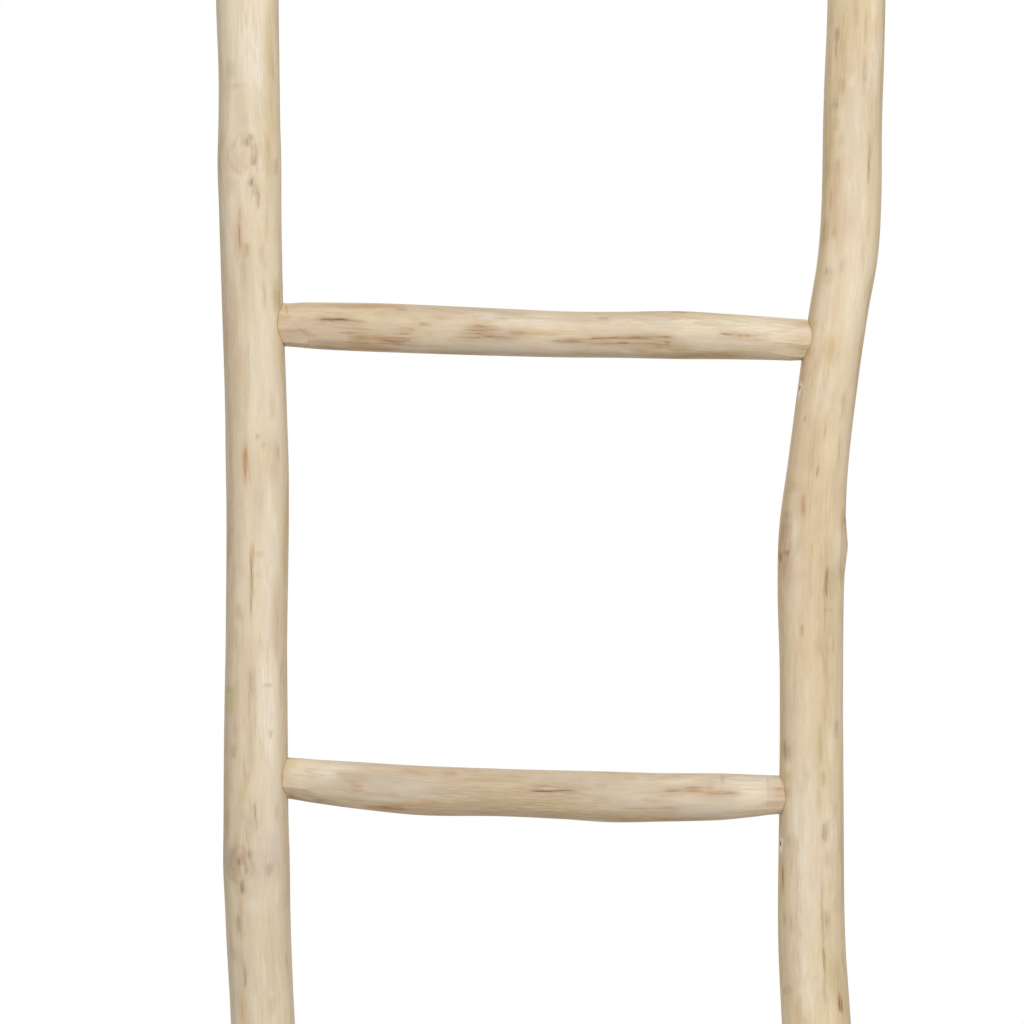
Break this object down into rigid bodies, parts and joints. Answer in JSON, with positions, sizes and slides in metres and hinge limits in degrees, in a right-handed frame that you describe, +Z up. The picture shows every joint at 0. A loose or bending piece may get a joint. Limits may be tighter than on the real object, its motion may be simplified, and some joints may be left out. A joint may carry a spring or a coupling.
{
  "type": "towel ladder",
  "caption": "Free-standing towel ladder: two crooked peeled branch posts joined by branch rungs with whittled ends.",
  "frame": {"origin": "on the floor, under the middle of the ladder's box", "axes": "+Z up along the posts, -Y to the front, +X to the right as seen from the front"},
  "size_m": [0.5024, 0.061, 1.6],
  "materials": {
    "post_wood": "peeled and sanded, bare",
    "rung_wood": "peeled and sanded, bare",
    "nail_steel": "drawn wire, dull",
    "filler_paste": "dry pale paste, matt"
  },
  "bodies": {
    "root": {"left_post": "post_wood", "right_post": "post_wood", "rung_1": "rung_wood", "rung_2": "rung_wood", "rung_3": "rung_wood", "rung_4": "rung_wood", "rung_5": "rung_wood", "nail_1_left": "nail_steel", "nail_1_right": "nail_steel", "nail_2_left": "nail_steel", "nail_2_right": "nail_steel", "nail_3_left": "nail_steel", "nail_3_right": "nail_steel", "nail_4_left": "nail_steel", "nail_4_right": "nail_steel", "nail_5_left": "nail_steel", "nail_5_right": "nail_steel", "filler_1_left": "filler_paste", "filler_1_right": "filler_paste", "filler_2_left": "filler_paste", "filler_2_right": "filler_paste", "filler_3_left": "filler_paste", "filler_3_right": "filler_paste", "filler_4_left": "filler_paste", "filler_4_right": "filler_paste", "filler_5_left": "filler_paste", "filler_5_right": "filler_paste"}
  },
  "joints": []
}
